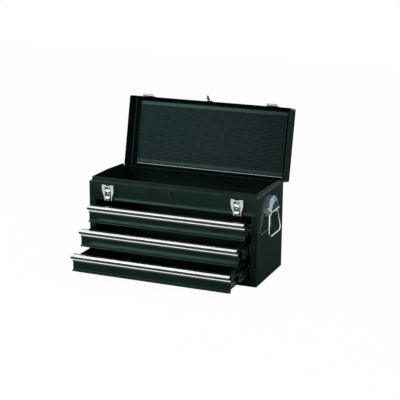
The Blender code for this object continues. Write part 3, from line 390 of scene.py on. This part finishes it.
def drawer_pull(number):
    """Aluminium pull: hollow beak with its ends open, above an apron that flares to a ledge."""
    node = f"drawer_{number}_pull"
    low, high = box_mm(node)
    # Both outlines are (distance out from the drawer's front, height above the pull's top).
    beak = [(0.0, 0.0), (8.9, 1.0), (14.65, -1.9), (14.65, -9.0), (2.9, -12.4), (0.0, -12.4)]
    apron = [(2.9, -13.7), (3.5, -16.1), (2.9, -17.0), (2.9, -20.5), (0.0, -20.5)]
    # The nose, the crest and the ledge are each rounded: (least distance out, radius).
    rounds = ((14.0, 0.4), (8.0, 1.0), (3.2, 0.2))
    wall, bore, beak_foot = 1.1, 20.0, 12.0
    form = bmesh.new()
    upper = [form.verts.new((low.x, high.y - out, high.z + z)) for out, z in beak]
    lower = [form.verts.new((low.x, high.y - out, high.z + z)) for out, z in apron]
    near = [form.faces.new(upper), form.faces.new([upper[5], upper[4], *lower])]
    grown = bmesh.ops.extrude_face_region(form, geom=near)
    bmesh.ops.translate(form, vec=(high.x - low.x, 0.0, 0.0), verts=new_verts(grown))
    bmesh.ops.recalc_face_normals(form, faces=form.faces)
    rims = [edge for edge in form.edges if abs(edge.verts[0].co.x - edge.verts[1].co.x) > 1.0]
    for least, radius in rounds:
        round_edges(form, [edge for edge in rims if edge.is_valid
                           and least < high.y - edge.verts[0].co.y < least + 2.0], radius)
    mouths = [face for face in form.faces if abs(face.normal.x) > 0.9
              and face.calc_center_median().z > high.z - beak_foot]
    for face in mouths:
        inward = math.copysign(bore, -face.normal.x)
        bmesh.ops.inset_region(form, faces=[face], thickness=wall, use_even_offset=True)
        bmesh.ops.translate(form, vec=(inward, 0.0, 0.0), verts=face.verts)
    finish_piece(f"pull_{number}", form, "aluminium", f"drawer_{number}", [node], smooth=6.0)


def drawer_face(number):
    """Drawer front: rolled hem above, lip flared forward below, with pressed bends."""
    node = f"drawer_{number}_front"
    low, high = box_mm(node)
    hem, flare, flare_top, flare_foot, bend = 7.0, 6.3, 5.4, 2.2, 0.9
    lip = low.y
    face = lip + flare
    path = [(face + hem, high.z), (face, high.z), (face, low.z + flare_top),
            (lip, low.z + flare_foot), (lip, low.z), (face, low.z)]
    form = bent_sheet(path, low.x, high.x, bend)
    bmesh.ops.reverse_faces(form, faces=form.faces)
    finish_piece(f"front_{number}", form, "black_paint", f"drawer_{number}", [node],
                 sheet=SHEET, smooth=8.0)


def lid_pad():
    """Ribbed pad in the lid: round ribs right across, and a skirt eased down to the lid."""
    top = LID_TOP - SHEET - GAP
    low = top - 3.0
    margin = low + 1.8
    ribs, pitch, rise, width, steps = 27, 6.1, 2.0, 4.8, 8
    skirt = 1.5
    first = (PAD_FRONT + PAD_BACK) / 2 - pitch * (ribs - 1) / 2
    path = [(LID_FRONT + 2.4, top), (LID_FRONT + 3.4, margin), (PAD_FRONT - 0.4, margin),
            (PAD_FRONT + 1.6, low)]
    for rib in range(ribs):
        crest = first + rib * pitch
        path += [(crest + (step / steps - 0.5) * width,
                  low - rise * math.sin(math.pi * step / steps) ** 0.7)
                 for step in range(steps + 1)]
    path += [(PAD_BACK - 1.6, low), (PAD_BACK + 0.4, margin), (LID_BACK - 3.4, margin),
             (LID_BACK - 2.4, top)]
    form = bmesh.new()
    line = [form.verts.new((-PAD_HALF, y, z)) for y, z in path]
    edges = [form.edges.new(pair) for pair in zip(line, line[1:])]
    for run in (skirt, 2 * (PAD_HALF - skirt), skirt):
        grown = bmesh.ops.extrude_edge_only(form, edges=edges)
        line = new_verts(grown)
        edges = [item for item in grown["geom"] if isinstance(item, bmesh.types.BMEdge)
                 and item.verts[0] in line and item.verts[1] in line]
        bmesh.ops.translate(form, vec=(run, 0.0, 0.0), verts=line)
    for vert in form.verts:
        if abs(vert.co.x) > PAD_HALF - 0.5:
            vert.co.z = top
    form.transform(LID_TURN)
    finish_piece("lid_pad", form, "liner", "lid", ["lid_liner"], sheet=0.5)


def liner_strip():
    """Half-round metal strip along the edge of the pad that is lowest with the lid open."""
    middle = PAD_BACK + 2.8
    floor = LID_TOP - SHEET
    half, deep, crown, steps = 1.7, 2.6, 1.6, 10
    path = [(middle - half, floor)]
    path += [(middle - half * math.cos(math.pi * step / steps),
              floor - deep - crown * math.sin(math.pi * step / steps))
             for step in range(steps + 1)]
    path += [(middle + half, floor)]
    form = bmesh.new()
    end = form.faces.new([form.verts.new((-PAD_HALF, y, z)) for y, z in path])
    grown = bmesh.ops.extrude_face_region(form, geom=[end])
    bmesh.ops.translate(form, vec=(2 * PAD_HALF, 0.0, 0.0), verts=new_verts(grown))
    bmesh.ops.recalc_face_normals(form, faces=form.faces)
    form.transform(LID_TURN)
    finish_piece("liner_strip", form, "aluminium", "lid", finish=ZINC)


def rim_bead():
    """Rolled edge along the rim's top, which falls away towards the hinges."""
    inset, corner, fall, radius, sunk, steps = 6.6, 4.0, 5.5, 1.7, 0.6, 5
    reach_x, reach_y, height = HALF - inset, BACK - inset, RIM_TOP - sunk
    points = [(-reach_x, reach_y, height - fall * reach_y / BACK), (-reach_x, 0.0, height)]
    for step in range(steps + 1):
        angle = math.radians(180 + 90 * step / steps)
        points.append((corner - reach_x + corner * math.cos(angle),
                       corner - reach_y + corner * math.sin(angle), height))
    points += [(-x, y, z) for x, y, z in points[::-1]]
    # The bead takes the darker copy of the enamel, with painted shade in its colour.
    finish_piece("rim_bead", wire("rim_bead", points, radius), "black_paint", "carcass",
                 finish=SHADE_DARKENED_ENAMEL)


def wire(name, points, radius, rings=4):
    """Round wire along points, with its ends closed and welded."""
    curve = bpy.data.curves.new(name, "CURVE")
    curve.dimensions = "3D"
    curve.bevel_depth = radius
    curve.bevel_resolution = rings
    curve.use_fill_caps = True
    spline = curve.splines.new("POLY")
    spline.points.add(len(points) - 1)
    for point, place in zip(spline.points, points):
        point.co = (*place, 1.0)
    drawn = bpy.data.objects.new(name, curve)
    bpy.context.scene.collection.objects.link(drawn)
    bpy.context.view_layer.update()
    mesh = bpy.data.meshes.new_from_object(drawn.evaluated_get(
        bpy.context.evaluated_depsgraph_get()))
    form = bmesh.new()
    form.from_mesh(mesh)
    bmesh.ops.remove_doubles(form, verts=form.verts, dist=0.01)
    bmesh.ops.recalc_face_normals(form, faces=form.faces)
    bpy.data.objects.remove(drawn, do_unlink=True)
    bpy.data.curves.remove(curve)
    bpy.data.meshes.remove(mesh)
    return form


def latch_centre(word):
    """Where a latch stands along the front."""
    return joints[f"latch_{word}_lever_hinge"]["pos_m"][0] / MM


def latch_keeper(word):
    """Hook plate on the lid: flat on the wall, rolled out below the rim for the claw."""
    centre = latch_centre(word)
    wall = LID_FRONT - GAP
    steel, half, top, foot, reach, lip, bend = 1.2, 16.5, 13.0, -9.5, 7.0, -5.9, 2.2
    path = [(wall, top), (wall, foot), (wall - reach, foot), (wall - reach, lip)]
    form = bent_sheet(path, centre - half, centre + half, bend)
    form.transform(LID_TURN)
    finish_piece(f"keeper_{word}", form, "chrome", "lid", [f"latch_{word}_keeper"], sheet=steel,
                 finish=ZINC)
    heads = [((centre + x, wall - steel, 7.5), (0.0, -1.0, 0.0)) for x in (-10.0, 10.0)]
    rivets(f"keeper_rivets_{word}", "chrome", "lid", heads, 2.2, 1.0, LID_TURN)


def face_front(form):
    """Turn a sheet's faces to the front, so that its steel lies behind them."""
    faced = sum(face.normal.y * face.calc_area() for face in form.faces)
    if faced > 0:
        bmesh.ops.reverse_faces(form, faces=form.faces)


def latch_lever(word):
    """Pressed lever: domed back, window, thumb curl, slot and rounded tip, with side flanges."""
    centre = latch_centre(word)
    top, tip, half, neck, face_out = 232.0, 191.4, 7.2, 5.6, 10.9
    curl, curl_reach, curl_rise, curl_flare = 208.0, 4.2, 3.4, 0.6
    dome_foot, dome_rise = 221.6, 2.4
    lean_from, lean, round_from, round_reach = 202.0, 0.22, 198.0, 6.6
    # Both holes are (half width, foot, head).
    window, slot = (5.0, 212.8, 221.2), (4.4, 201.2, 203.0)
    flange_foot, flange_out = 212.6, 5.4
    form = bmesh.new()
    bmesh.ops.create_grid(form, x_segments=16, y_segments=58, size=0.5)
    height = top - tip
    for vert in form.verts:
        x = vert.co.x * 2 * half
        z = tip + (vert.co.y + 0.5) * height
        out = face_out - lean * max(0.0, lean_from - z)
        if z < round_from:
            reach = math.sqrt(max(0.04, 1.0 - ((round_from - z) / round_reach) ** 2))
            x *= reach * neck / half
        elif z < curl - curl_reach:
            x *= neck / half
        if abs(z - curl) < curl_reach:
            out += curl_rise * math.sqrt(1.0 - ((z - curl) / curl_reach) ** 2)
            x *= (neck + curl_flare * (z - curl + curl_reach) / (2 * curl_reach)) / half
        if z > dome_foot:
            share = (z - dome_foot) / (top - dome_foot)
            out += dome_rise * math.sin(math.pi * share) ** 0.8 * (1.0 - (x / half) ** 2)
        vert.co = (centre + x, FRONT - out, z)
    gone = []
    for face in form.faces:
        spot = face.calc_center_median()
        if any(abs(spot.x - centre) < reach and foot < spot.z < head
               for reach, foot, head in (window, slot)):
            gone.append(face)
    bmesh.ops.delete(form, geom=gone, context="FACES")
    bmesh.ops.recalc_face_normals(form, faces=form.faces)
    sides = [edge for edge in form.edges if len(edge.link_faces) == 1
             and min(vert.co.z for vert in edge.verts) > flange_foot
             and all(abs(vert.co.x - centre) > half - 0.6 for vert in edge.verts)]
    grown = bmesh.ops.extrude_edge_only(form, edges=sides)
    for vert in new_verts(grown):
        vert.co.y = FRONT - flange_out
    bmesh.ops.recalc_face_normals(form, faces=form.faces)
    face_front(form)
    finish_piece(f"lever_{word}", form, "chrome", f"latch_lever_{word}",
                 [f"latch_{word}_lever"], sheet=1.1, smooth=60.0)


def latch_claw(word):
    """Stamped claw: two shouldered ears on tapering arms, hooks behind, pinned at the lever."""
    centre = latch_centre(word)
    inside, wide, notch, crown, bar, foot = 8.9, 17.6, 243.4, 246.0, 240.6, 199.6
    steel, face_out, tilt = 1.2, 8.7, 5.0
    hook_steel, hook_out, hook_in, hook_top, hook_tip = 0.9, 8.6, 3.9, 1.2, 3.0
    eye_radius, eye_out, pin_out, pin_height = 2.5, 6.2, 6.0, 203.0
    right = [(inside, bar), (9.8, 216.0), (8.4, foot), (10.8, foot), (11.4, 209.5),
             (16.0, 221.0), (wide, 229.0), (wide, crown), (8.4, crown), (6.2, notch)]
    outline = [(centre + x, z) for x, z in right] + [(centre - x, z) for x, z in right[::-1]]
    form = slab(outline, 1.6, steel, 0.35)
    bmesh.ops.translate(form, vec=(0.0, FRONT - face_out, 0.0), verts=form.verts)
    for hand in (-1, 1):
        hook = [(FRONT - hook_out, crown), (FRONT - hook_out, crown - hook_top),
                (FRONT - hook_in, crown - hook_top), (FRONT - hook_in, crown - hook_tip)]
        low, high = sorted((centre + hand * 9.0, centre + hand * 15.0))
        strip = bent_sheet(hook, low, high, 0.4)
        bmesh.ops.solidify(strip, geom=strip.faces[:], thickness=hook_steel)
        join(form, strip)
        eye = bmesh.new()
        bmesh.ops.create_cone(eye, cap_ends=True, segments=24, radius1=eye_radius,
                              radius2=eye_radius, depth=steel)
        rims = [edge for edge in eye.edges if len(edge.link_faces) == 2
                and any(len(face.verts) > 4 for face in edge.link_faces)]
        round_edges(eye, rims, 0.3, 2)
        join(form, eye, Matrix.Translation((centre + hand * 9.4, FRONT - eye_out, pin_height))
             @ Matrix.Rotation(math.pi / 2, 4, "Y"))
    pivot = Vector((centre, FRONT - pin_out, pin_height))
    form.transform(Matrix.Translation(pivot) @ Matrix.Rotation(math.radians(tilt), 4, "X")
                   @ Matrix.Translation(-pivot))
    finish_piece(f"claw_{word}", form, "chrome", f"latch_claw_{word}", [f"latch_{word}_claw"],
                 smooth=20.0, finish=TUMBLED)
    ends = [((centre + hand * 10.2, FRONT - pin_out, pin_height), (hand, 0.0, 0.0))
            for hand in (-1, 1)]
    rivets(f"claw_pin_{word}", "chrome", f"latch_claw_{word}", ends, 1.7, 0.8)


def handle_hood(word, side):
    """Stamped hood: arched wall, sloping roof, smaller face and a flared lip, open below."""
    half, crown, lip, rise, arch_steps = 32.0, 235.0, 196.0, 12.8, 24
    wall_out, face_out, narrow, low_share = 9.0, 14.0, 0.91, 0.6
    lip_drop, lip_flare, lip_spread, bead_radius = 0.4, 2.3, 2.2, 1.4
    centre = crown - half
    outline = [(half, lip - rise)]
    for step in range(arch_steps + 1):
        angle = math.pi * step / arch_steps
        outline.append((half * math.cos(angle), centre + half * math.sin(angle)))
    outline.append((-half, lip - rise))
    form = bmesh.new()
    back = form.faces.new([form.verts.new((GAP, y, z)) for y, z in outline])
    grown = bmesh.ops.extrude_face_region(form, geom=[back])
    ring = new_verts(grown)
    cap = [item for item in grown["geom"] if isinstance(item, bmesh.types.BMFace)]
    bmesh.ops.translate(form, vec=(wall_out - GAP, 0.0, 0.0), verts=ring)
    grown = bmesh.ops.extrude_face_region(form, geom=cap)
    outer = new_verts(grown)
    for vert in outer:
        vert.co = (face_out, vert.co.y * narrow, lip + (vert.co.z - lip) * low_share)
    bmesh.ops.delete(form, geom=[back, *cap], context="FACES_ONLY")
    bmesh.ops.recalc_face_normals(form, faces=form.faces)
    edges = [edge for edge in form.edges if len(edge.link_faces) == 2
             and (all(vert in outer for vert in edge.verts)
                  or all(vert in ring for vert in edge.verts))]
    round_edges(form, edges, 2.4)
    everything = form.verts[:] + form.edges[:] + form.faces[:]
    bmesh.ops.bisect_plane(form, geom=everything, plane_co=(face_out, 0.0, lip),
                           plane_no=(rise, 0.0, face_out), clear_inner=True)
    bmesh.ops.remove_doubles(form, verts=form.verts, dist=0.01)
    cut = [edge for edge in form.edges if len(edge.link_faces) == 1
           and all(abs(vert.co.z - lip - (face_out - vert.co.x) * rise / face_out) < 0.05
                   for vert in edge.verts)]
    grown = bmesh.ops.extrude_edge_only(form, edges=cut)
    for vert in new_verts(grown):
        out, y = vert.co.x, vert.co.y
        vert.co.z -= lip_drop
        if out > face_out - 0.4:
            vert.co.x = out + lip_flare
        if abs(y) > half * narrow - 1.5:
            vert.co.y = y + math.copysign(lip_spread, y)
    bmesh.ops.recalc_face_normals(form, faces=form.faces)
    if side < 0:
        form.transform(Matrix.Rotation(math.pi, 4, "Z"))
    bmesh.ops.translate(form, vec=(side * HALF, 0.0, 0.0), verts=form.verts)
    finish_piece(f"hood_{word}", form, "chrome", "carcass", [f"handle_{word}_hood"], sheet=1.2,
                 smooth=9.0, finish=NICKEL)
    edge = [(1.6, half + 0.6, lip + rise - 1.6), (wall_out, half + 0.4, lip + rise * 5 / 14),
            (12.9, half * narrow + 1.6, lip + 1.0), (face_out + 0.4, half * narrow - 0.8, lip)]
    edge += [(x, -y, z) for x, y, z in edge[::-1]]
    points = [(side * (HALF + x), y, z) for x, y, z in edge]
    finish_piece(f"hood_lip_{word}", wire(f"hood_lip_{word}", points, bead_radius, 3), "chrome",
                 "carcass")


def handle_bail(word, side):
    """Bent wire bail: stubs in the ears, splayed legs and a grip with wide corners."""
    pivot = Vector(joints[f"bail_{word}_hinge"]["pos_m"]) / MM
    stub, spread, half, drop, radius, elbow, thick = 23.5, 35.5, 55.0, 61.0, 18.0, 3.5, 5.0
    tilt, elbow_steps, corner_steps = 5.0, 6, 12
    splay = math.atan2(half - spread, drop)
    corner = half - radius / math.tan((math.pi / 2 - splay) / 2)
    path = [(stub, 0.0), (spread - elbow, 0.0)]
    for step in range(1, elbow_steps):
        angle = math.radians(90 - 90 * step / elbow_steps)
        path.append((spread - elbow + elbow * math.cos(angle), elbow * math.sin(angle) - elbow))
    for step in range(corner_steps + 1):
        angle = -splay - (math.pi / 2 - splay) * step / corner_steps
        path.append((corner + radius * math.cos(angle), radius - drop + radius * math.sin(angle)))
    path += [(-y, z) for y, z in path[::-1]]
    form = wire(f"bail_{word}", [(0.0, y, z) for y, z in path], thick / 2)
    form.transform(Matrix.Translation(pivot)
                   @ Matrix.Rotation(-side * math.radians(tilt), 4, "Y"))
    finish_piece(f"bail_{word}", form, "chrome", f"bail_{word}", [f"handle_{word}_bail"],
                 smooth=60.0)


def small_rivets():
    """Heads of the rivets that hold the hinges and the padlock eyes."""
    leaf, plate = 1.2 + GAP, 1.6 + GAP
    for word, side in SIDES:
        places = [side * (HALF - HINGE_INSET) + x for x in (-13.0, 0.0, 13.0)]
        case = [((x, BACK + leaf, HINGE.z - 13.0), (0.0, 1.0, 0.0)) for x in places]
        rivets(f"hinge_rivets_case_{word}", "black_plate", "carcass", case, 2.2, 0.9)
        lid = [((x, LID_BACK + leaf, 13.5), (0.0, 1.0, 0.0)) for x in places]
        rivets(f"hinge_rivets_lid_{word}", "black_plate", "lid", lid, 2.2, 0.9, LID_TURN)
    low, high = box_mm("hasp_eye_case")
    middle = (low.z + high.z) / 2
    case = [((x, FRONT - plate, middle + z), (0.0, -1.0, 0.0))
            for x, z in ((-4.6, 7.0), (4.6, 7.0), (-4.6, -7.0), (4.6, -7.0))]
    rivets("hasp_rivets_case", "black_plate", "carcass", case, 1.5, 0.7)
    lid = [((x, LID_FRONT - plate, 10.5), (0.0, -1.0, 0.0)) for x in (-4.6, 4.8)]
    rivets("hasp_rivets_lid", "black_plate", "lid", lid, 1.5, 0.7, LID_TURN)


def seen_or_mirrored(tree):
    """One for what the camera, mirrors and glass look at, and nothing for what lights things."""
    path = add_node(tree, "LightPath")
    seen = add_node(tree, "Math", [(0, path, "Is Camera Ray"), (1, path, "Is Glossy Ray")],
                    operation="MAXIMUM")
    return add_node(tree, "Math", [(0, seen, "Value"), (1, path, "Is Transmission Ray")],
                    operation="MAXIMUM")


def lay_out(name, place, width, depth, material):
    """A flat sheet of the studio, in metres."""
    mesh = bpy.data.meshes.new(name)
    sheet = bmesh.new()
    bmesh.ops.create_grid(sheet, x_segments=1, y_segments=1, size=0.5)
    bmesh.ops.scale(sheet, vec=(width, depth, 1.0), verts=sheet.verts)
    bmesh.ops.translate(sheet, vec=place, verts=sheet.verts)
    sheet.to_mesh(mesh)
    sheet.free()
    mesh.materials.append(material)
    laid = bpy.data.objects.new(name, mesh)
    bpy.context.scene.collection.objects.link(laid)
    return laid


def white_paper():
    """Matt paper that looks white, but keeps a share of the light and shadow on it."""
    white_share, white_strength = 0.96, 1.015
    paper = bpy.data.materials.new("white_paper")
    paper.use_nodes = True
    tree = paper.node_tree
    tree.nodes.clear()
    share = add_node(tree, "Math", [(0, seen_or_mirrored(tree), "Value")], operation="MULTIPLY")
    share.inputs[1].default_value = white_share
    matt = add_node(tree, "BsdfDiffuse", Color=linear("f4f4f4"))
    glow = add_node(tree, "Emission", Color=(1.0, 1.0, 1.0, 1.0), Strength=white_strength)
    mixed = add_node(tree, "MixShader", [("Fac", share, "Value"), (1, matt, "BSDF"),
                                         (2, glow, "Emission")])
    add_node(tree, "OutputMaterial", [("Surface", mixed, "Shader")])
    return paper


def studio():
    """White sweep that the camera and mirrors see as white, under plain soft light."""
    world = bpy.data.worlds.new("studio")
    bpy.context.scene.world = world
    world.use_nodes = True
    tree = world.node_tree
    tree.nodes.clear()
    soft = add_node(tree, "Background", Color=(1.0, 1.0, 1.0, 1.0), Strength=0.34)
    white = add_node(tree, "Background", Color=(1.0, 1.0, 1.0, 1.0), Strength=1.0)
    mixed = add_node(tree, "MixShader", [("Fac", seen_or_mirrored(tree), "Value"),
                                         (1, soft, "Background"), (2, white, "Background")])
    add_node(tree, "OutputWorld", [("Surface", mixed, "Shader")])
    lay_out("floor", (0.0, 0.0, -0.0002), 8.0, 8.0, white_paper())

    # Dark cloths that only mirrors see, as a photographer lays them to shape black gloss.
    flags = (("front_flag", (-0.30, -0.579, 0.0015), 1.25, 0.942, "161d1a"),
             ("side_flag", (1.2545, 1.925, 0.0015), 2.0, 4.15, "445a4f"))
    for name, place, width, depth, cloth in flags:
        felt, _, _ = start_material(f"{name}_felt", Base_Color=linear(cloth), Roughness=1.0)
        flag = lay_out(name, place, width, depth, felt)
        flag.visible_camera = False
        flag.visible_shadow = False
        flag.visible_diffuse = False

    lamps = (("key", (-1.7, -2.6, 1.7), 1.8, 42.0), ("fill", (2.6, -1.8, 1.1), 1.6, 9.0),
             ("top", (0.2, 0.2, 2.8), 1.6, 4.0))
    target = Vector((0.0, 0.0, 0.2))
    for name, place, size, power in lamps:
        lamp = bpy.data.lights.new(name, "AREA")
        lamp.shape = "SQUARE"
        lamp.size = size
        lamp.energy = power
        item = bpy.data.objects.new(name, lamp)
        bpy.context.scene.collection.objects.link(item)
        item.location = place
        item.rotation_euler = (target - Vector(place)).to_track_quat("-Z", "Y").to_euler()


def camera():
    """The photograph's view, from the front right and a little above."""
    lens = bpy.data.cameras.new("view")
    lens.sensor_width = 36.0
    lens.lens = 104.46
    item = bpy.data.objects.new("view", lens)
    bpy.context.scene.collection.objects.link(item)
    yaw, pitch, roll = math.radians(22.26), math.radians(15.15), math.radians(0.45)
    turn = (Matrix.Rotation(yaw, 4, "Z") @ Matrix.Rotation(math.pi / 2 - pitch, 4, "X")
            @ Matrix.Rotation(roll, 4, "Z"))
    item.matrix_world = Matrix.Translation((1.2462, -2.9415, 1.0594)) @ turn
    bpy.context.scene.camera = item


bpy.context.scene.view_settings.view_transform = "Standard"
camera()
studio()
dress_frame()
for number in DRAWERS:
    drawer_pull(number)
    drawer_face(number)
lid_pad()
liner_strip()
rim_bead()
for word, side in SIDES:
    latch_keeper(word)
    latch_lever(word)
    latch_claw(word)
    handle_hood(word, side)
    handle_bail(word, side)
small_rivets()
